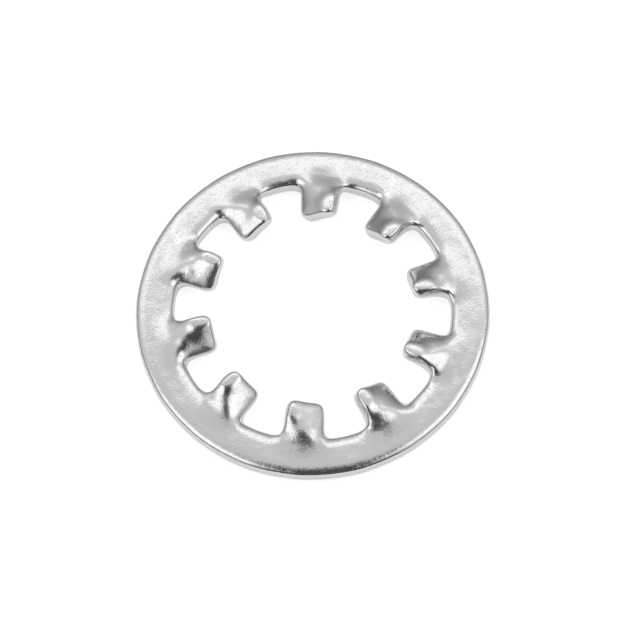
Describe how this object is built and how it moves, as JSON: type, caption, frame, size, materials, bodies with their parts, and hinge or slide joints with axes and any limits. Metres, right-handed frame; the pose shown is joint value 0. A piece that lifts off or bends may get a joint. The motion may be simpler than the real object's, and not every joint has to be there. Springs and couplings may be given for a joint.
{
  "type": "internal tooth lock washer",
  "caption": "Flat ring washer whose short inward teeth are each twisted, so their edges bite into a bolt head or nut and into the surface under it, and stop it turning loose.",
  "frame": {"origin": "centre of the screw hole, at mid-thickness of the flat ring", "axes": "+Z along the bolt, on the side where each tooth is lifted most; +X towards the root of one tooth"},
  "size_m": [0.0174, 0.0174, 0.0014],
  "materials": {
    "steel": "tumbled bright, fine matt grain"
  },
  "bodies": {
    "root": {"lock_washer": "steel"}
  },
  "joints": []
}
